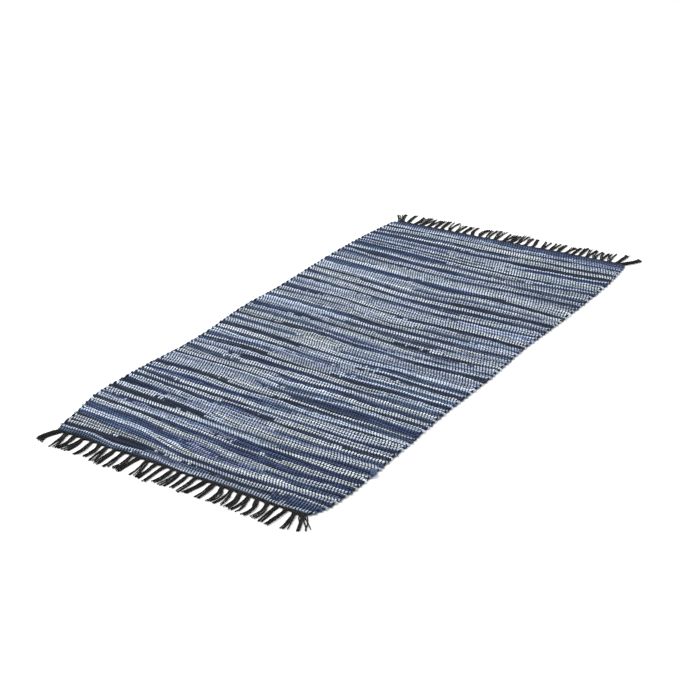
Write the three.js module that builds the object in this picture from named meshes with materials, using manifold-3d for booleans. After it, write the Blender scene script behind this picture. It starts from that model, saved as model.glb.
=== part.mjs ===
// A flat hand-woven rag rug: torn cotton strips packed over a thin cotton warp, with the warp ends gathered
// into tassels along both short ends. Millimetres, +Z up. X runs across the rug, Y along its warp, and the
// underside lies at Z = 0.
import * as THREE from "three";
import { mergeVertices } from "three/addons/utils/BufferGeometryUtils.js";
import Module from "manifold-3d";

// Driving dimensions of the woven cloth
const WOVEN_LENGTH = 1400; // from the first pick to the last, along the middle
const PICKS = 170; // rows of rag laid across the warp
const CREST_HEIGHT = 6; // top of a pick
const FURROW_HEIGHT = 4.6; // between two picks
const COLUMNS = 4; // facets across the width
const ROWS_PER_PICK = 2; // a furrow and a crest
const PICKS_PER_LOOP = 2; // a rag turns back round the edge once in two picks
const LOOP_REACH = 4; // how far a turning rag stands out of the edge
const BIG_LOOP = { s: -497, span: 18, reach: 10 }; // one slack turn at the right edge

// Driving dimensions of the heading and its tassels
const PARTING = 0.45; // between the cloth and the heading, along the middle
const HEADING_WIDTH = 8;
const HEADING_HEIGHT = 4;
const STRANDS_PER_TASSEL = 4;
const STRAND_WIDTH = 1.8;
const STRAND_HEIGHT = 2.2;
const STRAND_STEPS = 3; // facets along a strand
const ROOT_DEPTH = 4; // of a strand inside the heading
const ROOT_SPACING = 3.2; // between strands where they leave the heading
const TIP_SPACING = 3.6; // between strands at their cut ends, square to the tassel
const BOW_PULL = 2; // how far the path's bend point moves for a bow of one
const STRAND_LAG = [3, 0, 1.5, 5]; // how much shorter each strand of a tassel is cut

// The two edges, read along the middle line: distance s from the rug's middle, then each edge's X.
const EDGES = [
  { s: -716, left: -314, right: 322 },
  { s: -660, left: -330, right: 341 },
  { s: -600, left: -347, right: 348 },
  { s: -400, left: -352, right: 348 },
  { s: -210, left: -341, right: 343 },
  { s: 0, left: -354, right: 346 },
  { s: 140, left: -349, right: 341 },
  { s: 350, left: -353, right: 348 },
  { s: 600, left: -343, right: 347 },
  { s: 660, left: -337, right: 342 },
  { s: 716, left: -326, right: 333 },
];

// How far each line of picks runs ahead at five places from the left edge to the right one, because the
// beat was uneven from side to side.
const LINE_PLACES = [-1, -0.5, 0, 0.5, 1];
const PICK_LINES = [
  { s: -716, left: 11, midLeft: 6, middle: 0, midRight: -6, right: -11 },
  { s: -700, left: 11, midLeft: 6, middle: 0, midRight: -6, right: -11 },
  { s: -677, left: 16, midLeft: 11, middle: -3, midRight: -11, right: -12 },
  { s: -642, left: 32, midLeft: 18, middle: -10, midRight: -17, right: -22 },
  { s: -586, left: 35, midLeft: 21, middle: -6, midRight: -23, right: -28 },
  { s: -538, left: 26, midLeft: 18, middle: 0, midRight: -22, right: -22 },
  { s: -499, left: 26, midLeft: 14, middle: -7, midRight: -18, right: -17 },
  { s: -434, left: 31, midLeft: 12, middle: -2, midRight: -18, right: -23 },
  { s: -379, left: 18, midLeft: 12, middle: -3, midRight: -11, right: -17 },
  { s: -343, left: 22, midLeft: 13, middle: -1, midRight: -12, right: -23 },
  { s: -282, left: 17, midLeft: 11, middle: -2, midRight: -8, right: -19 },
  { s: -206, left: 19, midLeft: 10, middle: -3, midRight: -9, right: -16 },
  { s: -102, left: 22, midLeft: 14, middle: -4, midRight: -11, right: -20 },
  { s: -34, left: 21, midLeft: 12, middle: -3, midRight: -14, right: -16 },
  { s: 29, left: 27, midLeft: 14, middle: -7, midRight: -19, right: -15 },
  { s: 92, left: 20, midLeft: 13, middle: -7, midRight: -12, right: -12 },
  { s: 158, left: 25, midLeft: 14, middle: -10, midRight: -13, right: -16 },
  { s: 222, left: 25, midLeft: 11, middle: -6, midRight: -14, right: -14 },
  { s: 289, left: 28, midLeft: 10, middle: -13, midRight: -7, right: -16 },
  { s: 357, left: 24, midLeft: 11, middle: -7, midRight: -9, right: -20 },
  { s: 418, left: 24, midLeft: 3, middle: -10, midRight: -8, right: -9 },
  { s: 490, left: 17, midLeft: 7, middle: -8, midRight: -10, right: -5 },
  { s: 590, left: 4, midLeft: 0, middle: -5, midRight: -4, right: 7 },
  { s: 650, left: -3, midLeft: 2, middle: -3, midRight: 0, right: 7 },
  { s: 700, left: -6, midLeft: -3, middle: 0, midRight: 3, right: 6 },
  { s: 716, left: -6, midLeft: -3, middle: 0, midRight: 3, right: 6 },
];

// Tassels from left to right: where each leaves the heading, how far it bows sideways half way,
// how far its tip sways sideways, and how far it reaches from the heading.
const TASSEL_COLUMNS = ["root", "bow", "sway", "reach"];
const NEAR_TASSELS = [
  [-309, -8, -14, 48],
  [-291, 2, 11, 56],
  [-269, 6, 3, 54],
  [-247, 6, -4, 52],
  [-223, 5, 5, 54],
  [-199, 6, 3, 52],
  [-179, 1, 7, 57],
  [-157, 0, 4, 60],
  [-136, 2, 6, 60],
  [-113, 5, 3, 55],
  [-93, 0, -1, 59],
  [-70, 2, 12, 58],
  [-47, 1, 3, 57],
  [-26, 0, 0, 61],
  [-5, 4, 0, 53],
  [15, 3, 2, 55],
  [36, 3, 0, 50],
  [57, 1, 1, 56],
  [81, 1, -8, 51],
  [102, 2, 2, 55],
  [123, 7, 8, 53],
  [146, 5, 5, 51],
  [168, 4, 7, 52],
  [189, 5, 6, 53],
  [210, 6, 11, 55],
  [232, 6, 9, 54],
  [256, 0, 4, 59],
  [279, 1, -3, 59],
  [301, 2, 9, 56],
  [317, 3, 32, 42],
];
const FAR_TASSELS = [
  [-319, -3, -26, 45],
  [-301, -1, -6, 56],
  [-280, 2, 6, 54],
  [-259, 1, 7, 55],
  [-237, 0, 2, 52],
  [-216, -1, -3, 55],
  [-194, -3, -9, 58],
  [-172, -3, -9, 58],
  [-150, 0, 0, 52],
  [-129, 0, -2, 50],
  [-104, -3, -10, 54],
  [-81, -6, 4, 50],
  [-57, -3, -8, 58],
  [-33, -3, -7, 60],
  [-10, 0, 3, 54],
  [10, 0, 0, 52],
  [31, 0, -4, 60],
  [53, 0, -4, 50],
  [77, -2, -10, 52],
  [102, 0, -4, 48],
  [126, 0, 0, 50],
  [148, 0, -2, 50],
  [169, 2, 3, 46],
  [189, 0, 0, 50],
  [209, -2, -4, 56],
  [230, -2, -5, 54],
  [251, -3, -10, 50],
  [272, -2, -9, 48],
  [293, -3, -12, 52],
  [311, 2, 4, 58],
  [326, 4, 32, 44],
];

const MERGE_DISTANCE = 1e-4; // points closer than this are one point

const wasm = await Module();
wasm.setup();

// A smooth reading of a table's named columns against its column s.
function readingOf(rows, columns) {
  const samples = rows.flatMap((row) => columns.map((name) => row[name]));
  const curve = new THREE.CubicInterpolant(rows.map((row) => row.s), samples, columns.length, columns.map(() => 0));
  return (s) => Object.fromEntries(columns.map((name, i) => [name, curve.evaluate(s)[i]]));
}

const edgesAt = readingOf(EDGES, ["left", "right"]);
const linesAt = readingOf(PICK_LINES, ["left", "midLeft", "middle", "midRight", "right"]);

// The rug's plan: u runs from -1 at the left edge to 1 at the right one, s along the middle line,
// and the picks bow across it.
function planPoint(u, s) {
  const { left, right } = edgesAt(s);
  const line = new THREE.CubicInterpolant(LINE_PLACES, Object.values(linesAt(s)), 1, [0]);
  return new THREE.Vector2(THREE.MathUtils.mapLinear(u, -1, 1, left, right), s + line.evaluate(u)[0]);
}

// How far the turning rags stand out of the right (side 1) or left (side -1) edge at a row of the cloth.
// The turns of the two sides lie a pick apart.
function loopReach(side, row, s) {
  const rowsPerLoop = ROWS_PER_PICK * PICKS_PER_LOOP;
  const phase = ((row + (side < 0 ? ROWS_PER_PICK : 0)) % rowsPerLoop) / rowsPerLoop;
  const reach = LOOP_REACH * Math.sin(Math.PI * phase);
  const off = Math.abs(s - BIG_LOOP.s) / (BIG_LOOP.span / 2);
  return side > 0 && off < 1 ? Math.max(reach, BIG_LOOP.reach * Math.sqrt(1 - off * off)) : reach;
}

// Moves every point of a geometry with a function of its place.
function reshape(geometry, move) {
  const points = geometry.getAttribute("position");
  const point = new THREE.Vector3();
  for (let i = 0; i < points.count; i++) {
    point.fromBufferAttribute(points, i);
    move(point);
    points.setXYZ(i, point.x, point.y, point.z);
  }
  geometry.computeVertexNormals();
  return geometry;
}

// The cloth is one slab with a flat underside. Its top rises to a crest along every pick, and its long
// edges swell where the rags turn back.
function clothGeometry() {
  const rows = PICKS * ROWS_PER_PICK;
  return reshape(new THREE.BoxGeometry(2, rows, 1, COLUMNS, rows, 1), (point) => {
    const row = Math.round(point.y + rows / 2);
    const s = (row / rows - 0.5) * WOVEN_LENGTH;
    const u = point.x;
    const plan = planPoint(u, s);
    const side = Math.trunc(u); // -1 or 1 on the two edges and 0 between them
    const out = side * loopReach(side, row, s);
    const top = row % ROWS_PER_PICK ? CREST_HEIGHT : FURROW_HEIGHT;
    point.set(plan.x + out, plan.y, point.z > 0 ? top : 0);
  });
}

// The heading is a flat band along the cloth's end. end is -1 at the near end and 1 at the far one.
function headingGeometry(end) {
  const middle = end * (WOVEN_LENGTH / 2 + PARTING + HEADING_WIDTH / 2);
  return reshape(new THREE.BoxGeometry(2, HEADING_WIDTH, 1, COLUMNS, 1, 1), (point) => {
    const plan = planPoint(point.x, middle + point.y);
    point.set(plan.x, plan.y, point.z > 0 ? HEADING_HEIGHT : 0);
  });
}

// A strand is a three-sided bar that lies level along a bowed path. The section's first axis points down
// once it is carried along a level path.
const STRAND_SECTION = new THREE.Shape([
  new THREE.Vector2(0, -STRAND_WIDTH / 2),
  new THREE.Vector2(0, STRAND_WIDTH / 2),
  new THREE.Vector2(-STRAND_HEIGHT, 0),
]);

function strandGeometry(tassel, place, end) {
  const across = place - (STRANDS_PER_TASSEL - 1) / 2;
  const outer = end * (WOVEN_LENGTH / 2 + PARTING + HEADING_WIDTH);
  const { left, right } = edgesAt(outer);
  const headingAt = (x) => planPoint(THREE.MathUtils.mapLinear(x, left, right, -1, 1), outer).y;
  const rootX = tassel.root + across * ROOT_SPACING;
  const rootY = headingAt(rootX);
  const root = new THREE.Vector3(rootX, rootY - end * ROOT_DEPTH, 0);
  const leaves = new THREE.Vector3(rootX, rootY, 0);
  const way = new THREE.Vector3(tassel.sway, end * (tassel.reach - STRAND_LAG[place]), 0);
  const square = new THREE.Vector3(end * way.y, -end * way.x, 0).setLength(across * TIP_SPACING);
  const tip = new THREE.Vector3(tassel.root, headingAt(tassel.root), 0).add(way).add(square);
  const middle = leaves.clone().lerp(tip, 1 / 2);
  const bend = middle.setX(middle.x + BOW_PULL * tassel.bow);
  const path = new THREE.CubicBezierCurve3(root, leaves, bend, tip);
  return new THREE.ExtrudeGeometry(STRAND_SECTION, {
    steps: STRAND_STEPS,
    extrudePath: path,
    bevelEnabled: false,
  });
}

// A closed geometry as a solid that can be joined to others.
function solidOf(geometry) {
  const bare = geometry.clone();
  bare.deleteAttribute("normal");
  bare.deleteAttribute("uv");
  const merged = mergeVertices(bare, MERGE_DISTANCE);
  return new wasm.Manifold(
    new wasm.Mesh({
      numProp: 3,
      vertProperties: merged.getAttribute("position").array,
      triVerts: new Uint32Array(merged.index.array),
    }),
  );
}

function geometryOf(solid) {
  const { vertProperties, triVerts } = solid.getMesh();
  const geometry = new THREE.BufferGeometry();
  geometry.setAttribute("position", new THREE.BufferAttribute(vertProperties, 3));
  geometry.setIndex(new THREE.BufferAttribute(triVerts, 1));
  geometry.computeVertexNormals();
  return geometry;
}

// One end's fringe: the heading with the roots of all its strands sunk into it.
function fringeGeometry(end, rows) {
  const tassels = rows.map((row) => Object.fromEntries(TASSEL_COLUMNS.map((name, i) => [name, row[i]])));
  const strands = tassels.flatMap((tassel) =>
    Array.from({ length: STRANDS_PER_TASSEL }, (_, place) => solidOf(strandGeometry(tassel, place, end))),
  );
  return geometryOf(strands.reduce((fringe, strand) => fringe.add(strand), solidOf(headingGeometry(end))));
}

function piece(name, geometry, colour, roughness) {
  const material = new THREE.MeshStandardMaterial({ color: colour, roughness, metalness: 0 });
  const mesh = new THREE.Mesh(geometry, material);
  mesh.name = name;
  return mesh;
}

const RAG_BLUE = 0x53617f;
const WARP_BLACK = 0x1d1e24;

const rug = new THREE.Group();
rug.add(piece("woven_body", clothGeometry(), RAG_BLUE, 0.9));
rug.add(piece("near_fringe", fringeGeometry(-1, NEAR_TASSELS), WARP_BLACK, 0.85));
rug.add(piece("far_fringe", fringeGeometry(1, FAR_TASSELS), WARP_BLACK, 0.85));

export default rug;
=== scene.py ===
"""Rag rug: torn cotton strips woven pick by pick over a black cotton warp, with tassels along both ends.

Metres, +Z up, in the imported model's own frame: X runs across the rug and Y along its warp, and the underside
lies at Z = 0. Every rag and every warp thread is a real tube that passes over and under the others.
"""
import logging
import math
from dataclasses import dataclass, field
from enum import Enum, IntEnum
from functools import partial
from typing import ClassVar

import bpy
import numpy as np
from bpy.types import ID, Material, Node, NodeTree, Object
from mathutils import Matrix, Vector
from numpy.random import Generator, default_rng


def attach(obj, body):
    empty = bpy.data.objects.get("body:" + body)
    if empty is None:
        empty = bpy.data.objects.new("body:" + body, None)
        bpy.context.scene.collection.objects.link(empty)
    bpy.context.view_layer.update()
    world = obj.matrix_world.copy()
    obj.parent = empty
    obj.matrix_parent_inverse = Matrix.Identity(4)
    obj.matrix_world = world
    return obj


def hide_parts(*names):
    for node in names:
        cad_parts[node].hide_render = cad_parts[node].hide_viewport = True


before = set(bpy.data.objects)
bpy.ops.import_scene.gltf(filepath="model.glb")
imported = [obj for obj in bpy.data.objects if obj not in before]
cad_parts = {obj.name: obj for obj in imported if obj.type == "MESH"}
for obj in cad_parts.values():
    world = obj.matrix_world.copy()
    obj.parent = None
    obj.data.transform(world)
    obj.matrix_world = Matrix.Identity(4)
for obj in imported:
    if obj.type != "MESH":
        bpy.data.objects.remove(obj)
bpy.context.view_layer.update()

MM = 0.001
SEED = 1740
PICKS = 170
WARP_ENDS = 192
WOVEN_LENGTH = 1.400
PICK = WOVEN_LENGTH / PICKS
STATIONS = 2 * WARP_ENDS + 1  # along a pick: every warp thread and the places on both sides of it
SHORTEST = 1e-9  # keeps a direction of no length from dividing by zero
LOG = logging.getLogger("rag_rug")

Array = np.ndarray
Pair = tuple[float, float]
Triple = tuple[float, float, float]

# A Mix node's colour sockets, known by number as they share their names.
MIX_FIRST = 6
MIX_SECOND = 7
MIX_RESULT = 2

# The two edges in millimetres: distance along the middle line, then each edge's X.
EDGE_S = (-716, -660, -600, -400, -210, 0, 140, 350, 600, 660, 716)
EDGE_LEFT = (-314, -330, -347, -352, -341, -354, -349, -353, -343, -337, -326)
EDGE_RIGHT = (322, 341, 348, 348, 343, 346, 341, 348, 347, 342, 333)

# Lines of picks in millimetres: distance along the middle line, then how far the line runs ahead at five
# places from the left edge at -1 to the right one at 1.
LINE_PLACES = (-1.0, -0.5, 0.0, 0.5, 1.0)
PICK_LINES = (
    (-716, 11, 6, 0, -6, -11), (-700, 11, 6, 0, -6, -11),
    (-677, 16, 11, -3, -11, -12), (-642, 32, 18, -10, -17, -22),
    (-586, 35, 21, -6, -23, -28), (-538, 26, 18, 0, -22, -22),
    (-499, 26, 14, -7, -18, -17), (-434, 31, 12, -2, -18, -23),
    (-379, 18, 12, -3, -11, -17), (-343, 22, 13, -1, -12, -23),
    (-282, 17, 11, -2, -8, -19), (-206, 19, 10, -3, -9, -16),
    (-102, 22, 14, -4, -11, -20), (-34, 21, 12, -3, -14, -16),
    (29, 27, 14, -7, -19, -15), (92, 20, 13, -7, -12, -12),
    (158, 25, 14, -10, -13, -16), (222, 25, 11, -6, -14, -14),
    (289, 28, 10, -13, -7, -16), (357, 24, 11, -7, -9, -20),
    (418, 24, 3, -10, -8, -9), (490, 17, 7, -8, -10, -5),
    (590, 4, 0, -5, -4, 7), (650, -3, 2, -3, 0, 7),
    (700, -6, -3, 0, 3, 6), (716, -6, -3, 0, 3, 6),
)

# Stripes in weaving order from the near end, with commas between picks: the rags laid from left to right,
# each a cloth's letter and its share of the width in tenths.
STRIPES = (
    "S3.5 L2.5 O4, I3.5 L1.5 O4 B1, K4.5 S2 K2 B1.5, C1.2 K3 C1 K3.5 S1.3, C5 O3 S2, C3 I1 C6",
    "S1.5 B2.5 N6, B1 S2.5 N6.5, I3 C5.5 O1.5, I4 C6, B4.5 P1.5 L1.5 C2.5, B4 P1.5 B1.5 S3",
    "B3.5 P1.5 O2.5 N2.5, I2.5 C3 O4.5, C5 I2.5 O2.5, K3.5 S1.5 B1.5 N3.5, K3 N7, I4.5 C5.5",
    "I5 N2 C3, N2 P3 N5, L1 N3 S1.5 N4.5, C3.5 I2.5 C4, C3.5 I3 C3.5, K3.5 O3.5 S3",
    "K4.5 S3 N2.5, C2 K1.5 I1.5 O5, I4.5 C5.5, N1.5 L2.5 C2.5 O3.5, N2 P2 L2 P3 S1, I2.5 L4.5 S3",
    "C2 I4.5 C3.5, N4 P1.5 C2.5 K2, N5 K1 N2.5 K1.5, C4 N1.5 C4.5, C5 O3 I2, N5 S2 N3",
    "S1 C4 I5, C4 I2 C4, B4.5 S2 O3.5, N4.5 S3 K2.5, I4 L2 I4, C4 I3 O3, N2 K4 S4",
    "K2 O3 K2 S3, O2 C5 O3, O3 C3 S4, L3 P2 N5, O4 S2 N4, L4 O2 I4, I4 S3 O3, N4 S3 N3",
    "C4 I3 C3, C3 I4 C3, O4 S3 N3, S3 N4 S3, S2 C5 O3, C3 I4 C3, I2 N5 S3, P2 N6 S2",
    "L2 C4 I4, I3 C4 I3, S2 K8, K3 O3 N4, C4 O2 I4, S4 O2 S4, B3 P3 S4, I4 L2 I4, I4 P2 C4",
    "S3 N2 L2 K3, C3 L3 K4, C4 I6, N4 O2 S4, K3 N4 S3, O3 C2 I5, C5 I5, O4 S3 O3, S3 O3 L4",
    "S3 C2 P5, I3 C3 O4, C4 I3 C3, K4 N6, O3 N4 K3, C3 O3 I4, O3 S4 O3, S4 P3 S3, I3 O4 L3",
    "I4 C3 L3, N2 O3 S3 O2, N4 K5 S1, L3 O3 K1.5 C2.5, I4 C3 I3, L3 S4 L3, L3 I2 S3 L2",
    "I4 C4 I2, I5 C5, S3 N4 S3, S3 K3 N4, C3 I4 O3, O4 C2 O2 L2, O3 S3 K2 L2, S3 O3 S4",
    "O4 C4 L2, C4 I3 O3, N2 O3 N5, N2 K3 S1 K4, I4 C6, C3 I4 C3, P4 L4 P2, P2 O5 I3",
    "I3 O4 P3, I4 S3 I3, K4 N6, O5 C3 O2, C5 I5, O4 S3 O3, S2 N8, K2 N6 S2, O2 C6 O2",
    "C7 I3, O3 N3 K4, K4 S2 K4, O6 L4, I4 O4 C2, O4 S4 O2, L3 I7, I8 C2, S3 O5 I2",
    "S3 N3 K4, N7 K3, I4 S2 K1.5 O2.5, C4 I4 C2, S2 O3 I5, O5 C5, C4 O4 L2, L4 O6",
    "S3 O2 S5, N4 S2 N4, C5 I5, I6 C4, K3 N7, N5 S5, I4 C6, O4 C3 O3, S7 O3, N6 S2 N2",
    "N5 O3 S2, I4 C3 I3, S4 N4 S2, O4 C4 O2, N5 S2 O3, I4 C6, L4 S2 I4, S5 O2 B3, P4 O3 N3",
    "L4 I6, N5 K5, K4 N2 K4, S4 O4 C2, C4 I3 C3, S6 O2 S2, N4 K6, O4 C4 O2, O4 C3 O3",
    "I3 C4 L3, K8 N2, I4 L2 P4, L4 I4 L2, P5 S3 P2, S4 B3 S3, N6 K2 N2",
)

# Where a thick rag swells its stripe: the pick and the place across at its middle, then its half size in
# picks and in half widths of the rug, and how much thicker it is.
SWELLS = (
    (3.0, -0.51, 1.3, 0.16, 0.20),
    (11.5, -0.11, 1.5, 0.10, 0.30),
    (14.5, 0.11, 1.5, 0.10, 0.25),
    (20.0, 0.14, 1.6, 0.08, 0.30),
    (26.0, -0.24, 1.2, 0.10, 0.25),
)

# Tassels from left to right in millimetres: where each leaves the heading, how far it bows sideways half way,
# how far its tip sways sideways, and how far it reaches.
NEAR_TASSELS = (
    (-309, -8, -14, 48), (-291, 2, 11, 56), (-269, 6, 3, 54), (-247, 6, -4, 52), (-223, 5, 5, 54),
    (-199, 6, 3, 52), (-179, 1, 7, 57), (-157, 0, 4, 60), (-136, 2, 6, 60), (-113, 5, 3, 55),
    (-93, 0, -1, 59), (-70, 2, 12, 58), (-47, 1, 3, 57), (-26, 0, 0, 61), (-5, 4, 0, 53),
    (15, 3, 2, 55), (36, 3, 0, 50), (57, 1, 1, 56), (81, 1, -8, 51), (102, 2, 2, 55),
    (123, 7, 8, 53), (146, 5, 5, 51), (168, 4, 7, 52), (189, 5, 6, 53), (210, 6, 11, 55),
    (232, 6, 9, 54), (256, 0, 4, 59), (279, 1, -3, 59), (301, 2, 9, 56), (317, 3, 32, 42),
)
FAR_TASSELS = (
    (-319, -3, -26, 45), (-301, -1, -6, 56), (-280, 2, 6, 54), (-259, 1, 7, 55), (-237, 0, 2, 52),
    (-216, -1, -3, 55), (-194, -3, -9, 58), (-172, -3, -9, 58), (-150, 0, 0, 52), (-129, 0, -2, 50),
    (-104, -3, -10, 54), (-81, -6, 4, 50), (-57, -3, -8, 58), (-33, -3, -7, 60), (-10, 0, 3, 54),
    (10, 0, 0, 52), (31, 0, -4, 60), (53, 0, -4, 50), (77, -2, -10, 52), (102, 0, -4, 48),
    (126, 0, 0, 50), (148, 0, -2, 50), (169, 2, 3, 46), (189, 0, 0, 50), (209, -2, -4, 56),
    (230, -2, -5, 54), (251, -3, -10, 50), (272, -2, -9, 48), (293, -3, -12, 52), (311, 2, 4, 58),
    (326, 4, 32, 44),
)


class Slot(Enum):
    """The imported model's two material slots."""

    RAG_WEFT = "rag_weft"
    WARP_COTTON = "warp_cotton"


class End(Enum):
    """The rug's two ends, by the way along Y that their tassels point."""

    NEAR = -1
    FAR = 1


class Rag(Enum):
    """The cloths that the rags are torn from, each with its letter in STRIPES."""

    CHARCOAL = "K"
    NAVY = "N"
    INDIGO = "B"
    SLATE = "S"
    PERIWINKLE = "P"
    LAVENDER = "L"
    ICE = "I"
    ECRU = "C"
    OAT = "O"


class Crossing(IntEnum):
    """How a rag lies at a station: over a warp thread, between two threads or under one."""

    OVER = 0
    BETWEEN = 1
    UNDER = 2


class Column(IntEnum):
    """What a rag's path holds at each station."""

    X = 0
    Y = 1
    HALF = 2
    TOP = 3
    BOTTOM = 4
    RIDGE = 5
    CLOTH = 6


@dataclass(frozen=True)
class RagFinish:
    """A torn cloth: its two sides' colours, how far it swells over the warp, and its grain in metres."""

    right: str
    reverse: str
    cover: float = 0.0
    wander: float = 0.18
    fibre: float = 1.6 * MM  # coarser than real, to show
    speckle: float = 0.30
    crease_length: float = 12 * MM
    crease_spacing: float = 1.5 * MM
    crease_depth: float = 0.5 * MM


FINISHES: dict[Rag, RagFinish] = {
    Rag.CHARCOAL: RagFinish("1d293f", "384762", 0.25),
    Rag.NAVY: RagFinish("293a61", "445986", 0.25),
    Rag.INDIGO: RagFinish("40547f", "5d71a0", 0.20),
    Rag.SLATE: RagFinish("4b5e7e", "687ca0", 0.15),
    Rag.PERIWINKLE: RagFinish("8290b6", "9caacb", 0.20),
    Rag.LAVENDER: RagFinish("a9b7d1", "c0cce2", 0.15),
    Rag.ICE: RagFinish("bccce1", "d2dfee", 0.70),
    Rag.ECRU: RagFinish("d5dfe7", "e2e9ef"),
    Rag.OAT: RagFinish("b4c1d1", "c9d3e0"),
}


@dataclass(frozen=True)
class YarnFinish:
    """Near-black twisted cotton yarn: its colour, the paler tone of worn fibres, and its grain in metres."""

    colour: str
    worn: str
    wear: float = 5 * MM
    twist: float = 2.4 * MM
    rib_width: float = 6 * MM
    rib_depth: float = 0.3 * MM


# Among the rags the warp carries their blue lint. Beyond the headings it is plain black.
LINTED_WARP = YarnFinish("0a1124", "192338")
BARE_WARP = YarnFinish("060709", "111317")


def linear(code: str) -> tuple[float, float, float, float]:
    """A colour written as six sRGB hex digits, in linear light from 0 to 1 with full alpha."""
    parts = [int(code[i : i + 2], 16) / 255 for i in (0, 2, 4)]
    return (*(c / 12.92 if c <= 0.04045 else ((c + 0.055) / 1.055) ** 2.4 for c in parts), 1.0)


def add_node(tree: NodeTree, kind: str, settings: dict, links: dict | None = None) -> Node:
    """Add a shader node, set it up and link it.

    Args:
        tree: The node tree to add to.
        kind: Blender's name for the kind of node.
        settings: Values by property name, or by the name or number of an input.
        links: For each input's name or number, the node and the output that feed it.

    Returns:
        The new node.
    """
    node = tree.nodes.new(kind)
    for key, value in settings.items():
        if isinstance(key, str) and hasattr(node, key):
            setattr(node, key, value)
        else:
            node.inputs[key].default_value = value
    for key, (source, output) in (links or {}).items():
        tree.links.new(source.outputs[output], node.inputs[key])
    return node


def ease(t: Array) -> Array:
    """A smooth rise from 0 to 1 that is level at both ends: 3 t squared less 2 t cubed."""
    return t * t * (3 - 2 * t)


def unit(vectors: Array) -> Array:
    """The vectors in the last axis, each brought to length one."""
    return vectors / np.maximum(np.linalg.norm(vectors, axis=-1, keepdims=True), SHORTEST)


def cubic_through(places: Array, values: Array, at: Array) -> Array:
    """A cubic curve through values at given places, whose slopes are their central differences.

    Args:
        places: Where the values stand, rising.
        values: One value at each place, or one such row for every element of at.
        at: Where to read the curve.

    Returns:
        The curve's values, shaped as at.
    """
    slopes = np.gradient(values, places, axis=-1)
    cell = np.clip(np.searchsorted(places, at, side="right") - 1, 0, len(places) - 2)

    def entry(table: Array, index: Array) -> Array:
        """The table's entries at an index, row by row where it has rows."""
        return table[index] if table.ndim == 1 else np.take_along_axis(table, index[..., None], -1)[..., 0]

    width = places[cell + 1] - places[cell]
    t = (np.clip(at, places[0], places[-1]) - places[cell]) / width
    rise = ease(t)
    ends = entry(values, cell) * (1 - rise) + entry(values, cell + 1) * rise
    return ends + width * t * (1 - t) * (entry(slopes, cell) * (1 - t) - entry(slopes, cell + 1) * t)


def cubic_path(corners: tuple[Array, ...], t: Array) -> Array:
    """Points at t, from 0 to 1, on cubic paths drawn by four corners each, as (paths, stations, 2)."""
    weights = ((1 - t) ** 3, 3 * t * (1 - t) ** 2, 3 * t**2 * (1 - t), t**3)
    return sum(corner[:, None] * weight[:, None] for corner, weight in zip(corners, weights))


def soften(values: Array, width: float, axis: int) -> Array:
    """A bell-shaped blur along one axis, with the ends mirrored, as a product of its waves.

    Args:
        values: What to blur.
        width: The blur's standard deviation in steps of that axis.
        axis: The axis to blur along.

    Returns:
        The blurred values.
    """
    row = np.moveaxis(values, axis, -1)
    mirrored = np.concatenate([row, row[..., ::-1]], axis=-1)
    waves = np.fft.rfftfreq(mirrored.shape[-1])
    damped = np.fft.rfft(mirrored) * np.exp(-2 * (math.pi * width * waves) ** 2)
    return np.moveaxis(np.fft.irfft(damped, mirrored.shape[-1])[..., : row.shape[-1]], -1, axis)


@dataclass(frozen=True)
class Wander:
    """Unevenness of handwork: how far a value wanders, and over how many steps of each axis."""

    amount: float
    grain: tuple[float, ...]

    def draw(self, rng: Generator, shape: tuple[int, ...]) -> Array:
        """Noise of that shape, blurred along each axis, with the amount as its standard deviation."""
        noise = rng.standard_normal(shape)
        for axis, width in enumerate(self.grain):
            noise = soften(noise, width, axis)
        return self.amount * (noise / noise.std())


@dataclass(frozen=True)
class Plan:
    """The rug's plan: u runs from -1 at the left edge to 1 at the right one, s along the middle line."""

    edge_s: Array
    left: Array
    right: Array
    line_s: Array
    lines: Array

    @classmethod
    def measured(cls) -> "Plan":
        """The plan from the tables above, in metres."""
        lines = np.array(PICK_LINES, float) * MM
        edges = [np.array(row, float) * MM for row in (EDGE_S, EDGE_LEFT, EDGE_RIGHT)]
        return cls(*edges, lines[:, 0], lines[:, 1:])

    def points(self, u: Array, s: Array) -> Array:
        """Where places across and along the rug lie.

        X lies between the two edges at s. Y is s plus how far the line of picks runs ahead at u, on a cubic
        through five places.

        Args:
            u: Places across.
            s: Places along, shaped as u.

        Returns:
            X and Y in the last axis.
        """
        left = cubic_through(self.edge_s, self.left, s)
        right = cubic_through(self.edge_s, self.right, s)
        ahead = np.stack([cubic_through(self.line_s, column, s) for column in self.lines.T], axis=-1)
        y = s + cubic_through(np.array(LINE_PLACES), ahead, u)
        return np.stack([left + (u + 1) / 2 * (right - left), y], axis=-1)


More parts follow.
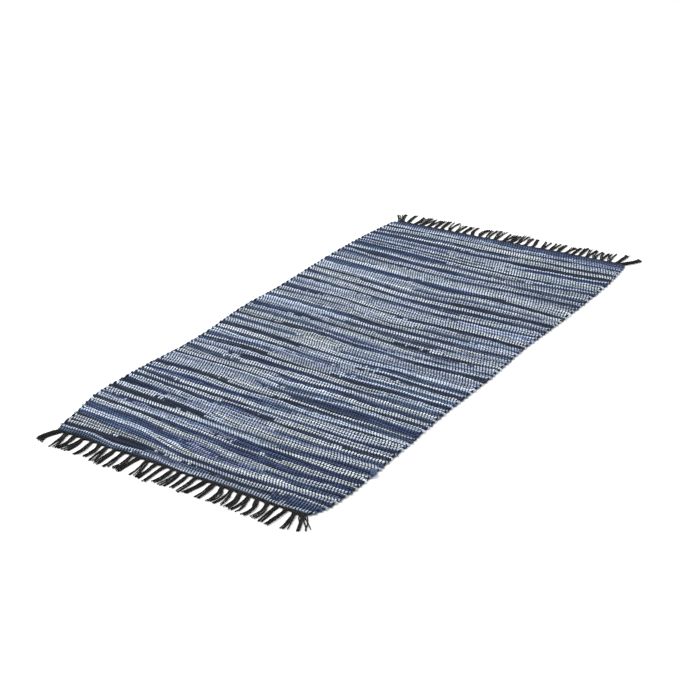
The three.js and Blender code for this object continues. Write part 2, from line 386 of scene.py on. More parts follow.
@dataclass
class Tubes:
    """Tubes as rings of points, (rings, sides, 3), with metres along the tube and other values at each ring.

    Joins says of each ring but the last whether a wall joins it to the next one.
    """

    CAP_RADIUS: ClassVar[float] = 0.4  # share of its cell in the bake map
    SIDE_WIDTH: ClassVar[float] = 5 * MM  # of one side in the lay map

    rings: Array
    joins: Array
    along: Array
    values: dict[str, Array] = field(default_factory=dict)

    @classmethod
    def apart(cls, rings: Array, along: Array) -> "Tubes":
        """Tubes from rings as (tubes, stations, sides, 3), each of which ends at its own last station."""
        joins = np.broadcast_to(np.arange(along.shape[1]) < along.shape[1] - 1, along.shape)
        return cls(rings.reshape(-1, *rings.shape[2:]), joins.ravel()[:-1], along.ravel())

    def beside(self, other: "Tubes") -> "Tubes":
        """These tubes and others with as many sides, as one set."""
        joins = np.concatenate([self.joins, [False], other.joins])
        rings = np.concatenate([self.rings, other.rings])
        return Tubes(rings, joins, np.concatenate([self.along, other.along]))

    def faces(self) -> tuple[Array, Array]:
        """The walls between joined rings, and the caps on rings that are joined on one side only.

        Returns:
            The walls as (joins, sides, 4) and the caps as (caps, sides), both facing outward.
        """
        sides = self.rings.shape[1]
        corner = np.arange(len(self.rings) * sides).reshape(-1, sides)
        here = corner[:-1][self.joins]
        there = corner[1:][self.joins]
        walls = np.stack([here, np.roll(here, -1, 1), np.roll(there, -1, 1), there], axis=-1)
        closed = np.concatenate([[False], self.joins, [False]])
        starts = corner[~closed[:-1] & closed[1:]][:, ::-1]
        return walls, np.concatenate([starts, corner[closed[:-1] & ~closed[1:]]])

    def maps(self, walls: Array, caps: Array) -> tuple[Array, Array]:
        """Two maps for the faces' corners, in their order.

        The bake map gives every wall its own cell of a square sheet, one row of cells a side, and the caps
        the cells after them. The lay map has metres along the tube and metres round it.

        Args:
            walls: The walls from faces().
            caps: The caps from faces().

        Returns:
            The bake map and the lay map, each (corners, 2).
        """
        count, sides = walls.shape[:2]
        columns = math.ceil(math.sqrt((count + len(caps)) * sides))
        wall_rows = math.ceil(count / columns)
        sheet = (columns, (wall_rows + math.ceil(len(caps) / columns)) * sides)
        place = np.arange(count)[:, None]
        cell = np.stack(np.broadcast_arrays(place % columns, place // columns * sides + np.arange(sides)), -1)
        step = np.array([(0, 0), (0, 1), (1, 1), (1, 0)])
        wall_map = (cell[:, :, None, :] + step) / sheet
        order = np.arange(len(caps))
        first = np.stack([order % columns, (wall_rows + order // columns) * sides], -1)
        turn = 2 * math.pi * np.arange(sides) / sides
        rim = 0.5 + self.CAP_RADIUS * np.stack([np.cos(turn), np.sin(turn)], -1)
        cap_map = (first[:, None] + rim) / sheet
        along = np.broadcast_to(self.along[:, None], self.rings.shape[:2]).ravel()
        round_it = (np.arange(sides)[:, None] + step[:, 1]) * self.SIDE_WIDTH
        wall_lay = np.stack([along[walls], np.broadcast_to(round_it, walls.shape)], -1)
        cap_lay = np.stack([along[caps], np.zeros(caps.shape)], -1)
        pairs = ((wall_map, cap_map), (wall_lay, cap_lay))
        return tuple(np.concatenate([part.reshape(-1, 2) for part in pair]) for pair in pairs)

    def make(self, name: str, material: Material) -> Object:
        """Build one joined mesh object.

        Args:
            name: The object's name.
            material: Its material.

        Returns:
            The object, linked into the scene.
        """
        walls, caps = self.faces()
        bake, lay = self.maps(walls, caps)
        corners = np.concatenate([walls.ravel(), caps.ravel()])
        quads = walls.size // 4
        sizes = np.concatenate([np.full(quads, 4), np.full(len(caps), caps.shape[1])])
        mesh = bpy.data.meshes.new(name)
        mesh.vertices.add(self.rings.size // 3)
        mesh.vertices.foreach_set("co", self.rings.astype(np.float32).ravel())
        mesh.loops.add(len(corners))
        mesh.loops.foreach_set("vertex_index", corners.astype(np.int32))
        mesh.polygons.add(len(sizes))
        mesh.polygons.foreach_set("loop_start", (np.cumsum(sizes) - sizes).astype(np.int32))
        mesh.polygons.foreach_set("use_smooth", np.arange(len(sizes)) < quads)
        for title, pairs in (("OFBake", bake), ("Lay", lay)):
            mesh.uv_layers.new(name=title).data.foreach_set("uv", pairs.astype(np.float32).ravel())
        for title, values in self.values.items():
            layer = mesh.attributes.new(title, "FLOAT", "POINT")
            layer.data.foreach_set("value", np.repeat(values, self.rings.shape[1]).astype(np.float32))
        mesh.update(calc_edges=True)
        mesh.materials.append(material)
        return shown(name, mesh)


def shown(name: str, data: ID) -> Object:
    """An object of that name and data, linked into the scene."""
    thing = bpy.data.objects.new(name, data)
    bpy.context.scene.collection.objects.link(thing)
    return thing


def rag_material(name: str, finish: RagFinish) -> Material:
    """Torn cotton cloth, folded into a strip.

    The right side and the faded reverse are mixed along each rag, its tone wanders from rag to rag, and fibre
    noise greys it. Creases run along the strip as bump. It gives the eye a dull, slightly hairy cotton whose
    stripes are never one flat colour.

    Args:
        name: The material's name.
        finish: Its colours and grain.

    Returns:
        The material.
    """
    material = bpy.data.materials.new(name)
    material.use_nodes = True
    tree = material.node_tree
    tree.nodes.clear()
    add = partial(add_node, tree)
    tone = add("ShaderNodeAttribute", {"attribute_name": "tone"})
    faded = add("ShaderNodeAttribute", {"attribute_name": "reverse"})
    both = {"data_type": "RGBA", MIX_FIRST: linear(finish.right), MIX_SECOND: linear(finish.reverse)}
    sides = add("ShaderNodeMix", both, {0: (faded, "Fac")})
    place = add("ShaderNodeTexCoord", {})
    grain = {"Scale": 1 / finish.fibre, "Detail": 3.0}
    fibres = add("ShaderNodeTexNoise", grain, {"Vector": (place, "Object")})
    spots = {"operation": "MULTIPLY_ADD", 1: finish.speckle, 2: 1 - finish.speckle / 2}
    speckle = add("ShaderNodeMath", spots, {0: (fibres, "Fac")})
    swing = {"operation": "MULTIPLY_ADD", 1: finish.wander, 2: 1.0}
    shade = add("ShaderNodeMath", swing, {0: (tone, "Fac")})
    value = add("ShaderNodeMath", {"operation": "MULTIPLY"}, {0: (speckle, 0), 1: (shade, 0)})
    cloth = add("ShaderNodeHueSaturation", {}, {"Color": (sides, MIX_RESULT), "Value": (value, 0)})
    lay = add("ShaderNodeUVMap", {"uv_map": "Lay"})
    stretch = {"Scale": (1 / finish.crease_length, 1 / finish.crease_spacing, 1.0)}
    drawn = add("ShaderNodeMapping", stretch, {"Vector": (lay, "UV")})
    creases = add("ShaderNodeTexNoise", {"Scale": 1.0, "Detail": 2.0}, {"Vector": (drawn, "Vector")})
    depth = {"Strength": 0.6, "Distance": finish.crease_depth}
    bump = add("ShaderNodeBump", depth, {"Height": (creases, "Fac")})
    matt = {"Roughness": 0.92, "Specular IOR Level": 0.15, "Sheen Weight": 0.12, "Sheen Roughness": 0.6}
    fed = {"Base Color": (cloth, "Color"), "Normal": (bump, "Normal")}
    skin = add("ShaderNodeBsdfPrincipled", matt, fed)
    add("ShaderNodeOutputMaterial", {}, {"Surface": (skin, "BSDF")})
    return material


def yarn_material(name: str, finish: YarnFinish) -> Material:
    """Near-black cotton yarn.

    Slanting ribs of the twist are a bump along the thread, and worn fibres lift the black a little in spots.
    It gives the eye a matt black line with a grain, not a plastic cord.

    Args:
        name: The material's name.
        finish: Its colours and grain.

    Returns:
        The material.
    """
    material = bpy.data.materials.new(name)
    material.use_nodes = True
    tree = material.node_tree
    tree.nodes.clear()
    add = partial(add_node, tree)
    place = add("ShaderNodeTexCoord", {})
    spots = {"Scale": 1 / finish.wear, "Detail": 2.0}
    wear = add("ShaderNodeTexNoise", spots, {"Vector": (place, "Object")})
    both = {"data_type": "RGBA", MIX_FIRST: linear(finish.colour), MIX_SECOND: linear(finish.worn)}
    tint = add("ShaderNodeMix", both, {0: (wear, "Fac")})
    lay = add("ShaderNodeUVMap", {"uv_map": "Lay"})
    pitch = {"Scale": (1 / finish.twist, 1 / finish.rib_width, 1.0)}
    slant = add("ShaderNodeMapping", pitch, {"Vector": (lay, "UV")})
    bands = {"bands_direction": "DIAGONAL", "Scale": 1.0}
    ribs = add("ShaderNodeTexWave", bands, {"Vector": (slant, "Vector")})
    depth = {"Strength": 0.4, "Distance": finish.rib_depth}
    bump = add("ShaderNodeBump", depth, {"Height": (ribs, "Fac")})
    matt = {"Roughness": 0.9, "Specular IOR Level": 0.15, "Sheen Weight": 0.06, "Sheen Roughness": 0.6}
    fed = {"Base Color": (tint, MIX_RESULT), "Normal": (bump, "Normal")}
    skin = add("ShaderNodeBsdfPrincipled", matt, fed)
    add("ShaderNodeOutputMaterial", {}, {"Surface": (skin, "BSDF")})
    return material


@dataclass
class Weft:
    """The rags, laid pick by pick over and under the warp and turned back at both edges.

    Tops, bottoms and half widths have one entry for each Crossing: heights in metres above the floor, and
    shares of the distance between picks.
    """

    plan: Plan
    rng: Generator
    tops: Triple = (5.75 * MM, 5.1 * MM, 3.45 * MM)
    bottoms: Triple = (2.55 * MM, 0.9 * MM, 0.25 * MM)
    half_widths: Triple = (0.54, 0.52, 0.43)
    end_widths: Pair = (0.6, 0.85)
    cover_rise: float = 2.2 * MM
    thickness: Wander = Wander(0.22, (0.3, 22.0))
    evening: float = 5.0
    splice: Wander = Wander(0.030, (0.0, 2.0))
    stagger: float = 0.045
    crumple: Wander = Wander(0.18 * MM, (0.0, 0.8))
    crumple_most: float = 0.25 * MM
    crumple_below: float = 0.3
    fullness: Wander = Wander(0.06, (0.0, 2.0))
    ridge: Wander = Wander(0.18, (0.0, 3.0))
    turn_reach: float = 3.9 * MM
    turn_reach_shares: Pair = (0.5, 1.1)
    turn_half_width: float = 4.0 * MM
    turn_width_shares: Pair = (0.8, 1.1)
    turn_heights: Pair = (0.4 * MM, 6.4 * MM)
    turn_angles: Triple = (-50.0, 0.0, 50.0)
    turn_pinch: float = 0.6
    turn_draw: Triple = (0.15, 0.35, 0.60)
    rag_tone: float = 0.7
    slow_tone: Wander = Wander(0.5, (30.0,))
    fine_tone: Wander = Wander(0.5, (1.2,))
    fading: Wander = Wander(1.0, (14.0,))
    fading_floor: float = 0.6

    def pick_lines(self) -> Array:
        """How far along the rug each pick lies at each place across, as (picks, stations).

        Picks are even but for rags of uneven thickness: the running sum of the thickness, less its slow part,
        moves them, so that stripes swell and shrink without wandering off.

        Returns:
            The distance s in metres.
        """
        u = np.linspace(-1, 1, STATIONS)
        pick = np.arange(PICKS) + 0.5
        thick = self.thickness.draw(self.rng, (PICKS, STATIONS))
        for middle, across, picks, span, more in SWELLS:
            near = ((pick[:, None] - middle) / picks) ** 2 + ((u - across) / span) ** 2
            thick += more * np.exp(-near)
        moved = np.cumsum(thick, axis=0)
        moved -= soften(moved, self.evening, 0)
        return (pick[:, None] + moved) * PICK - WOVEN_LENGTH / 2

    def cloths(self) -> Array:
        """Which cloth each pick has at each place across.

        A pick's rags end at their shares of its width, moved by chance, and places wander so that joins fray.

        Returns:
            Numbers of Rag's members as (picks, stations).
        """
        letters = [rag.value for rag in Rag]
        place = np.linspace(0, 1, STATIONS) + self.splice.draw(self.rng, (PICKS, STATIONS))
        table = np.zeros((PICKS, STATIONS), int)
        for row, stripe in enumerate(", ".join(STRIPES).split(", ")):
            rags = stripe.split()
            shares = np.cumsum([float(rag[1:]) for rag in rags])
            ends = shares[:-1] / shares[-1] + self.rng.normal(0, self.stagger, len(rags) - 1)
            order = np.array([letters.index(rag[0]) for rag in rags])
            table[row] = order[np.searchsorted(np.sort(ends), place[row])]
        return table

    def crossings(self) -> Array:
        """The Crossing at each pick and station of a plain weave, over one thread and under the next."""
        station = np.arange(STATIONS)
        thread = (station - 1) // 2
        over = (thread + np.arange(PICKS)[:, None]) % 2 == 0
        return np.where(station % 2 == 0, Crossing.BETWEEN, np.where(over, Crossing.OVER, Crossing.UNDER))

    def drawn_in(self, lines: Array) -> Array:
        """The pick lines with both ends of each pick drawn towards the pick that it turns into.

        At its last stations a pick moves by a growing share of the way to the middle of the pair.

        Args:
            lines: From pick_lines().

        Returns:
            The lines, shaped as before.
        """
        drawn = lines.copy()
        share = np.array(self.turn_draw)
        count = len(share)
        right = lines[:, -count:].reshape(-1, 2, count)
        left = lines[1:-1, :count].reshape(-1, 2, count)
        drawn[:, -count:] += ((right.mean(1, keepdims=True) - right) * share).reshape(-1, count)
        drawn[1:-1, :count] += ((left.mean(1, keepdims=True) - left) * share[::-1]).reshape(-1, count)
        return drawn

    def turns(self, flat: Array) -> Array:
        """Stations round the edge after each pick, on half an ellipse from its end to the next one's start.

        Args:
            flat: The picks as (picks, stations, columns), each in the way that it runs.

        Returns:
            The turns as (picks, turn stations, columns).
        """
        leaves = flat[:, -1]
        enters = np.concatenate([flat[1:, 0], flat[-1:, -1]])
        side = np.where(np.arange(PICKS) % 2 == 0, 1.0, -1.0)
        reach = self.turn_reach * self.rng.uniform(*self.turn_reach_shares, PICKS)
        half = self.turn_half_width * self.rng.uniform(*self.turn_width_shares, PICKS)
        angle = np.radians(self.turn_angles)
        swing = self.turn_pinch * np.sin(angle)[:, None]
        turn = (leaves + enters)[:, None] / 2 + (enters - leaves)[:, None] / 2 * swing
        turn[..., Column.X] += (side * reach)[:, None] * np.cos(angle)
        turn[..., Column.HALF] = half[:, None]
        turn[..., Column.BOTTOM], turn[..., Column.TOP] = self.turn_heights
        turn[..., Column.RIDGE] = 0.0
        turn[..., Column.CLOTH] = enters[:, None, Column.CLOTH]
        return turn

    def path(self, lines: Array) -> Array:
        """The rags' one path: a pick to the right, a turn, a pick to the left and so on.

        A rag's top is pressed down where a warp thread passes over it, and its bottom up where one passes
        under. Both crumple, and a full cloth swells up round the thread that presses it.

        Args:
            lines: From pick_lines().

        Returns:
            The path as (stations, columns).
        """
        cloths = self.cloths()
        u = np.broadcast_to(np.linspace(-1, 1, STATIONS), lines.shape)
        x, y = np.moveaxis(self.plan.points(u, self.drawn_in(lines)), -1, 0)
        state = self.crossings()
        room = np.gradient(lines, axis=0)
        crumple = self.crumple.draw(self.rng, lines.shape)
        half = np.take(self.half_widths, state) * room * (1 + self.fullness.draw(self.rng, lines.shape))
        for station, share in enumerate(self.end_widths):
            half[:, [station, -1 - station]] *= share
        cover = np.array([FINISHES[rag].cover for rag in Rag])[cloths] * self.cover_rise
        swollen = np.where(state == Crossing.UNDER, cover, 0.0)
        top = np.take(self.tops, state) + np.minimum(crumple, self.crumple_most) + swollen
        bottom = np.take(self.bottoms, state) + self.crumple_below * np.abs(crumple)
        ridge = room * self.ridge.draw(self.rng, lines.shape)
        flat = np.stack([x, y, half, top, bottom, ridge, cloths], axis=-1)
        flat[1::2] = flat[1::2, ::-1]
        whole = np.concatenate([flat, self.turns(flat)], axis=1).reshape(-1, len(Column))
        return whole[: -len(self.turn_angles)]

    def cut(self, path: Array) -> dict[Rag, Tubes]:
        """Rings along the path, shared out to the cloths.

        Each ring is a left, a top, a right and a bottom point. The top and the bottom lie off the middle by
        the ridge, to opposite sides. The tone wanders from rag to rag, and slowly and finely along each.

        Args:
            path: From path().

        Returns:
            The tubes of each cloth.
        """
        middle = path[:, : Column.HALF]
        way = unit(np.gradient(middle, axis=0))
        left = np.stack([-way[:, 1], way[:, 0]], axis=1)
        half, top, bottom, ridge = path[:, Column.HALF : Column.CLOTH].T[..., None]
        waist = (top + bottom) / 2
        section = ((half, waist), (ridge, top), (-half, waist), (-ridge, bottom))
        rings = np.stack([np.concatenate([middle + left * off, up], 1) for off, up in section], axis=1)
        cloth = path[:, Column.CLOTH].astype(int)
        along = np.concatenate([[0], np.cumsum(np.linalg.norm(np.diff(middle, axis=0), axis=1))])
        rag = np.concatenate([[0], np.cumsum(cloth[1:] != cloth[:-1])])
        tone = self.rag_tone * self.rng.standard_normal(rag[-1] + 1)[rag]
        tone += self.slow_tone.draw(self.rng, along.shape)
        tone += self.fine_tone.draw(self.rng, along.shape)
        reverse = np.clip(self.fading.draw(self.rng, along.shape) - self.fading_floor, 0, 1)
        tubes = {}
        for number, kind in enumerate(Rag):
            mine = cloth[:-1] == number
            needed = np.append(mine, False) | np.append(False, mine)
            place = np.flatnonzero(needed)
            joins = mine[place[:-1]] & (np.diff(place) == 1)
            values = {"tone": tone[needed], "reverse": reverse[needed]}
            tubes[kind] = Tubes(rings[needed], joins, along[needed], values)
        return tubes

    def build(self, lines: Array, materials: dict[Rag, Material]) -> list[Object]:
        """Make each cloth's rags as one joined mesh in its own material."""
        tubes = self.cut(self.path(lines))
        return [tubes[rag].make(f"{rag.name.lower()}_rags", materials[rag]) for rag in Rag]


@dataclass
class SlackLoop:
    """The one rag left slack at the right edge: a fat loop that stands out and up from it."""

    plan: Plan
    rag: Rag = Rag.SLATE
    place: float = -503.0 * MM
    outset: float = 1.0 * MM
    reach: float = 1.0 * MM
    half_span: float = 6.0 * MM
    radius: float = 7.6 * MM
    closing: float = 0.85
    stations: int = 13
    sides: int = 12
    lay_step: float = 2.0 * MM

    def build(self, materials: dict[Rag, Material]) -> Object:
        """Make the loop as one tube in its cloth's material.

        Its path is half an ellipse in a plane that leans half way between level and upright. Its section is
        round about that path and closes up towards both ends, so that it looks like a ball.

        Args:
            materials: Each cloth's material.

        Returns:
            The loop.
        """
        angle = np.radians(np.linspace(-90, 90, self.stations))[:, None]
        edge_x, edge_y = self.plan.points(np.array([1.0]), np.array([self.place]))[0]
        outward = np.array([1.0, 0.0, 1.0]) / math.sqrt(2)
        along = np.array([0.0, 1.0, 0.0])
        across = np.cross(outward, along)
        ray = outward * np.cos(angle) + along * np.sin(angle)
        bow = outward * np.cos(angle) * self.reach + along * np.sin(angle) * self.half_span
        turn = 2 * math.pi * np.arange(self.sides)[:, None] / self.sides
        around = ray[:, None] * np.cos(turn) - across * np.sin(turn)
        radius = self.radius * np.sqrt(1 - self.closing * np.sin(angle) ** 2)
        middle = np.array([edge_x + self.outset, edge_y, self.radius])
        rings = middle + bow[:, None] + radius[:, None] * around
        path = np.arange(self.stations) * self.lay_step
        still = np.zeros(self.stations)
        tube = Tubes(rings, np.ones(self.stations - 1, bool), path, {"tone": still, "reverse": still})
        return tube.make("slack_rag_loop", materials[self.rag])


@dataclass
class Warp:
    """The warp threads, under and over the picks, with a thicker one along each edge.

    Heights are above the floor, first where a rag passes over the thread, then where one passes under it.
    """

    plan: Plan
    rng: Generator
    radius: float = 1.85 * MM
    heights: Pair = (1.7 * MM, 4.25 * MM)
    hold: float = 0.32
    corners: Triple = (210.0, 90.0, -30.0)
    # The outermost threads are a real selvedge thread, made thick and raised so that they also serve as
    # painted shade in the edge notches.
    selvedge_shade_radius: float = 3.0 * MM
    selvedge_reach: float = 0.2 * MM
    selvedge_shade_heights: Pair = (2.4 * MM, 3.2 * MM)
    shade_nub_rise: float = 1.8 * MM
    nub_shift: float = 0.5 * PICK

    def threads(self, lines: Array, parity: int) -> Tubes:
        """Every second warp thread as a three-sided tube with two rings at each pick.

        A thread is low where the rag passes over it and high where the rag passes under, level for a share of
        the pick on both sides of its middle. The outermost threads lie half a pick nearer the near end, are
        thick and rise unevenly, as dark nubs in the notches between the turns of the rags: partly a real
        selvedge thread and partly painted shade at the edge.

        Args:
            lines: The pick lines.
            parity: 0 or 1, for the threads of even or odd number.

        Returns:
            The tubes.
        """
        thread = np.arange(parity, WARP_ENDS, 2)
        middle = lines[:, 1 + 2 * thread].T
        hold = np.gradient(middle, axis=1) * self.hold
        outermost = (thread == 0) | (thread == WARP_ENDS - 1)
        s = np.stack([middle - hold, middle + hold], -1).reshape(len(thread), -1)
        s -= np.where(outermost, self.nub_shift, 0.0)[:, None]
        high = (thread[:, None] + np.arange(PICKS)) % 2
        # Dark nubs at random heights along both edges, partly painted shade where the rags turn.
        shade_nubs = np.take(self.selvedge_shade_heights, high) + self.shade_nub_rise * high * self.rng.random(high.shape)
        level = np.where(outermost[:, None], shade_nubs, np.take(self.heights, high))
        height = np.repeat(level, 2, axis=1)
        place = (2 * thread + 1) / WARP_ENDS - 1
        u = np.broadcast_to(np.where(outermost, np.sign(place), place)[:, None], s.shape)
        centre = np.concatenate([self.plan.points(u, s), height[..., None]], -1)
        centre[outermost, :, 0] += np.sign(place[outermost])[:, None] * self.selvedge_reach
        turn = np.radians(self.corners)
        ring = np.stack([np.cos(turn), np.zeros(len(turn)), np.sin(turn)], -1)
        radius = np.where(outermost, self.selvedge_shade_radius, self.radius)
        return Tubes.apart(centre[:, :, None] + radius[:, None, None, None] * ring, s)

    def build(self, lines: Array, material: Material) -> list[Object]:
        """Make the even threads as one joined mesh and the odd ones as another."""
        names = ("even_warp_threads", "odd_warp_threads")
        return [self.threads(lines, parity).make(name, material) for parity, name in enumerate(names)]


@dataclass
class Ground:
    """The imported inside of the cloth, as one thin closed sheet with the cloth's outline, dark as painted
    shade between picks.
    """

    plan: Plan
    heights: Pair = (2.0 * MM, 3.2 * MM)
    columns: int = 25
    rows: int = 86
    inset: float = 0.996

    def build(self, material: Material) -> Object:
        """Make the sheet: a grid on the plan at two heights, with a wall round its rim.

        Args:
            material: Its material.

        Returns:
            The sheet.
        """
        across = np.linspace(-1, 1, self.columns) * self.inset
        u, s = np.meshgrid(across, np.linspace(-0.5, 0.5, self.rows) * WOVEN_LENGTH)
        flat = self.plan.points(u, s)
        layers = [np.concatenate([flat, np.full(u.shape + (1,), height)], -1) for height in self.heights]
        number = np.arange(u.size).reshape(u.shape)
        corners = [number[:-1, :-1], number[:-1, 1:], number[1:, 1:], number[1:, :-1]]
        cells = np.stack(corners, -1).reshape(-1, 4)
        rim = np.concatenate([number[0, :-1], number[:-1, -1], number[-1, :0:-1], number[:0:-1, 0]])
        after = np.roll(rim, -1)
        walls = np.stack([rim, after, after + u.size, rim + u.size], -1)
        quads = np.concatenate([cells[:, ::-1], cells + u.size, walls])
        mesh = bpy.data.meshes.new("packed_ground")
        mesh.from_pydata(np.concatenate(layers).reshape(-1, 3).tolist(), [], quads.tolist())
        mesh.materials.append(material)
        return shown("packed_ground", mesh)


@dataclass
class Fringe:
    """One end of the rug: a heading of two twined cords, and the warp ends bunched into tassels beyond it.

    Cord places and the root depth are shares of the heading's width, and gather is one of a tassel's length.
    """

    plan: Plan
    rng: Generator
    end: End
    tassels: tuple[tuple[int, int, int, int], ...]
    parting: float = 0.45 * MM
    heading: float = 8.0 * MM
    heading_height: float = 2.3 * MM
    cord_places: Pair = (0.20, 0.48)
    cord_sway: float = 0.05
    cord_rise: float = 0.3 * MM
    cord_radius: float = 1.5 * MM
    thread_radius: float = 1.5 * MM
    thread_taper: float = 0.15
    thread_spacing: float = 1.40 * MM
    tip_spacing: float = 2.0 * MM
    tip_delay: float = 1.6
    cut_lengths: Pair = (0.94, 1.08)
    bow_pull: float = 2.0
    root_depth: float = 0.6
    root_crowding: float = 1.3
    corner_spread: float = 1.15
    corner_extra: int = 2
    gather: float = 0.15
    floor_gap: float = 0.1 * MM
    layer_rise: float = 1.3 * MM
    layer_sink: float = 0.6
    loose: float = 1.0 * MM
    stray_share: float = 0.10
    stray: float = 5.0 * MM
    split_share: float = 0.35
    split: float = 4.0 * MM
    stations: int = 16
    sides: int = 4
    wobble: Wander = Wander(1.1 * MM, (0.0, 1.6))
    twist: float = 45.0 * MM

    def edge(self, x: Array, s: float) -> Array:
        """Where the line at s, along the cloth's end, lies along Y at places across."""
        ends = self.plan.points(np.array([-1.0, 1.0]), np.full(2, s))[:, 0]
        return self.plan.points(np.interp(x, ends, [-1.0, 1.0]), np.full(np.shape(x), s))[..., 1]

    def cords(self) -> Tubes:
        """Two cords twined along the cloth's end, each rising and falling once in two warp threads."""
        u = np.broadcast_to(np.linspace(-1, 1, WARP_ENDS + 1), (2, WARP_ENDS + 1))
        wave = np.cos(math.pi * np.arange(WARP_ENDS + 1) + np.array([[0.0], [math.pi]]))
        place = np.array(self.cord_places)[:, None] + self.cord_sway * wave
        s = self.end.value * (WOVEN_LENGTH / 2 + self.parting + self.heading * place)
        height = self.heading_height + self.cord_rise * wave
        centre = np.concatenate([self.plan.points(u, s), height[..., None]], -1)
        return self.tubes(centre, np.full(u.shape, self.cord_radius))

    def bunches(self) -> tuple[Array, Array, Array]:
        """How the warp ends are shared out to the tassels, evenly but for a few more at the corners.

        Returns:
            Each end's tassel, its number in that tassel and its place across it, in thread spacings.
        """
        thread = np.arange(WARP_ENDS)
        last = len(self.tassels) - 1
        shared = WARP_ENDS - 2 * self.corner_extra
        tassel = np.clip((thread - self.corner_extra) * len(self.tassels) // shared, 0, last)
        rank = thread - np.searchsorted(tassel, tassel)
        count = np.bincount(tassel)
        corner = np.where((tassel == 0) | (tassel == last), self.corner_spread, 1.0)
        return tassel, rank, (rank - (count[tassel] - 1) / 2) * corner

    def threads(self) -> Tubes:
        """The warp ends beyond the heading.

        Each thread leaves at its own place in the cloth, closes up with its neighbours into a tassel, follows
        the tassel's cubic path and spreads a little towards its cut end. Some tassels part in two.

        Returns:
            The tubes.
        """
        way = self.end.value
        tassel, rank, across = self.bunches()
        table = np.array(self.tassels, float) * MM
        root, bow, sway, reach = table[tassel].T
        outer = way * (WOVEN_LENGTH / 2 + self.parting + self.heading)
        t = np.linspace(0, 1, self.stations) ** self.root_crowding
        leaves = np.stack([root, self.edge(root, outer)], -1)
        aim = np.stack([sway, way * reach * self.rng.uniform(*self.cut_lengths, WARP_ENDS)], -1)
        tip = leaves + aim
        bend = (leaves + tip) / 2
        bend[:, 0] += self.bow_pull * bow
        start = leaves - np.array([0.0, way * self.heading * self.root_depth])
        middle = cubic_path((start, leaves, bend, tip), t)
        parted = (self.rng.random(len(table)) < self.split_share)[tassel]
        loose = self.rng.normal(0, self.loose, WARP_ENDS)
        strays = self.rng.random(WARP_ENDS) < self.stray_share
        loose += strays * self.rng.normal(0, self.stray, WARP_ENDS)
        closed = ease(np.clip(t / self.gather, 0, 1))
        late = np.clip((t - self.gather) / (1 - self.gather), 0, 1) ** self.tip_delay
        u = (2 * np.arange(WARP_ENDS) + 1) / WARP_ENDS - 1
        own = self.plan.points(u, np.full(WARP_ENDS, outer))[:, 0] - root
        bundle = across * self.thread_spacing
        spread = across * self.tip_spacing + np.sign(across) * parted * self.split + loose
        aside = own[:, None] * (1 - closed) + bundle[:, None] * (closed - late) + spread[:, None] * late
        aside += self.wobble.draw(self.rng, aside.shape) * closed
        square = unit(np.stack([way * aim[:, 1], -way * aim[:, 0]], -1))
        plain = np.array([1.0, 0.0])
        turn = square[:, None] * closed[:, None] + plain * (1 - closed[:, None])
        layer = (rank % 2)[:, None] * self.layer_rise * closed * (1 - self.layer_sink * late)
        lying = self.thread_radius + self.floor_gap
        height = self.heading_height * (1 - closed) + lying * closed + layer
        centre = np.concatenate([middle + turn * aside[..., None], height[..., None]], -1)
        radius = self.thread_radius * (1 - self.thread_taper * late)
        return self.tubes(centre, np.broadcast_to(radius, height.shape))

    def tubes(self, centre: Array, radius: Array) -> Tubes:
        """Tubes round level paths, whose section turns along them as a twisted yarn's does.

        Args:
            centre: The paths as (paths, stations, 3).
            radius: The radius at each station.

        Returns:
            The tubes.
        """
        way = unit(np.gradient(centre[..., :2], axis=1))
        left = np.stack([-way[..., 1], way[..., 0], np.zeros(way.shape[:2])], -1)
        step = np.linalg.norm(np.diff(centre, axis=1), axis=-1)
        along = np.concatenate([np.zeros((len(centre), 1)), np.cumsum(step, axis=1)], axis=1)
        turn = 2 * math.pi * (along[..., None] / self.twist + np.arange(self.sides) / self.sides)
        up = np.array([0.0, 0.0, 1.0])
        around = np.cos(turn)[..., None] * left[:, :, None] + np.sin(turn)[..., None] * up
        return Tubes.apart(centre[:, :, None] + radius[..., None, None] * around, along)

    def build(self, material: Material) -> Object:
        """Make the heading and the tassels as one joined mesh, named for its end."""
        whole = self.cords().beside(self.threads())
        return whole.make(f"{self.end.name.lower()}_warp_ends", material)


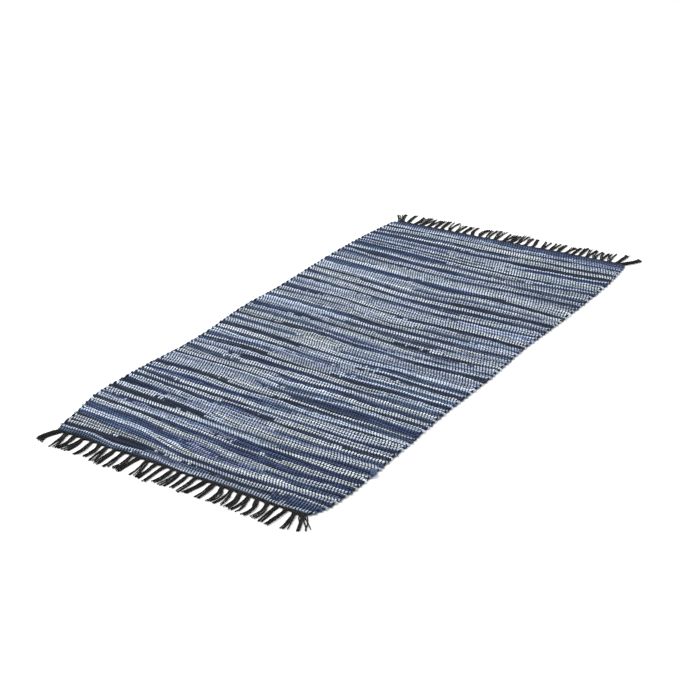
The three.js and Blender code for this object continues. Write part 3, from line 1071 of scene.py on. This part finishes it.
@dataclass
class Studio:
    """The picture's camera, a plain pale floor and soft white light from all round.

    Foot and height place the camera, ahead is its heading in plan, and pitch and roll are in degrees.
    """

    foot: Pair = (1.8521, -2.8686)
    height: float = 1.5959
    ahead: Pair = (-0.5555, 0.8315)
    pitch: float = 25.02
    roll: float = 1.64
    lens: float = 85.95
    sensor: float = 36.0
    floor_size: float = 40.0
    floor_colour: str = "f6f6f6"
    sky: float = 0.86
    lamp_power: float = 90.0
    lamp_size: float = 3.0
    lamp_place: Triple = (-1.6, 0.4, 2.6)

    def build_camera(self) -> None:
        """Place the camera: a level heading, pitched down, then rolled clockwise about its line of sight."""
        level = Vector((*self.ahead, 0.0)).normalized()
        down = math.radians(self.pitch)
        up = Vector((0, 0, 1))
        forward = level * math.cos(down) - up * math.sin(down)
        right = level.cross(up)
        above = right.cross(forward)
        lean = math.radians(self.roll)
        rolled = right * math.cos(lean) - above * math.sin(lean)
        upright = above * math.cos(lean) + right * math.sin(lean)
        lens = bpy.data.cameras.new("picture_camera")
        lens.lens = self.lens
        lens.sensor_width = self.sensor
        lens.dof.use_dof = False
        camera = shown("picture_camera", lens)
        axes = Matrix((rolled, upright, -forward)).transposed().to_4x4()
        camera.matrix_world = Matrix.Translation((*self.foot, self.height)) @ axes
        bpy.context.scene.camera = camera

    def build_floor(self) -> Object:
        """A pale matt floor just under the rug."""
        half = self.floor_size / 2
        corners = [(-half, -half, 0), (half, -half, 0), (half, half, 0), (-half, half, 0)]
        mesh = bpy.data.meshes.new("pale_floor")
        mesh.from_pydata(corners, [], [(0, 1, 2, 3)])
        material = bpy.data.materials.new("pale_floor")
        material.use_nodes = True
        skin = material.node_tree.nodes["Principled BSDF"]
        chalk = {"Base Color": linear(self.floor_colour), "Roughness": 1.0, "Specular IOR Level": 0.0}
        for key, value in chalk.items():
            skin.inputs[key].default_value = value
        mesh.materials.append(material)
        return shown("pale_floor", mesh)

    def build_light(self) -> Object:
        """An even white sky and one wide lamp overhead on the camera's left."""
        scene = bpy.context.scene
        world = bpy.data.worlds.new("white_sky")
        world.use_nodes = True
        sky = world.node_tree.nodes["Background"]
        sky.inputs["Color"].default_value = (1.0, 1.0, 1.0, 1.0)
        sky.inputs["Strength"].default_value = self.sky
        scene.world = world
        scene.view_settings.view_transform = "Standard"
        lamp = bpy.data.lights.new("wide_lamp", "AREA")
        lamp.size = self.lamp_size
        lamp.energy = self.lamp_power
        thing = shown("wide_lamp", lamp)
        place = Vector(self.lamp_place)
        aim = (-place).to_track_quat("-Z", "Y")
        thing.matrix_world = Matrix.Translation(place) @ aim.to_matrix().to_4x4()
        return thing


def main() -> None:
    """Build the weave, both fringes and the studio in order, and log each piece."""
    logging.basicConfig(level=logging.INFO, format="%(name)s: %(message)s")
    rng = default_rng(SEED)
    shade_nubs = default_rng(SEED + 1)
    plan = Plan.measured()
    cloths = {rag: rag_material(f"torn_cotton_{rag.name.lower()}", FINISHES[rag]) for rag in Rag}
    # The ground's charcoal cloth shows only in the furrows between picks, where it is painted shade.
    gap_shade = rag_material("ground_painted_gap_shade", FINISHES[Rag.CHARCOAL])
    warp = yarn_material("linted_cotton_warp", LINTED_WARP)
    yarn = yarn_material("black_cotton_yarn", BARE_WARP)
    weft = Weft(plan, rng)
    lines = weft.pick_lines()
    pieces = []
    for piece in [*weft.build(lines, cloths), SlackLoop(plan).build(cloths)]:
        pieces.append(piece)
    for piece in Warp(plan, shade_nubs).build(lines, warp):
        pieces.append(piece)
    for end, tassels in ((End.NEAR, NEAR_TASSELS), (End.FAR, FAR_TASSELS)):
        piece = Fringe(plan, rng, end, tassels).build(yarn)
        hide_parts(f"{end.name.lower()}_fringe")
        pieces.append(piece)
    ground = Ground(plan).build(gap_shade)
    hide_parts("woven_body")
    for piece in [*pieces, ground]:
        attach(piece, "root")
        piece.data.calc_loop_triangles()
        LOG.info("%s: %d triangles", piece.name, len(piece.data.loop_triangles))
    studio = Studio()
    studio.build_camera()
    studio.build_floor()
    studio.build_light()


if __name__ == "__main__":
    main()
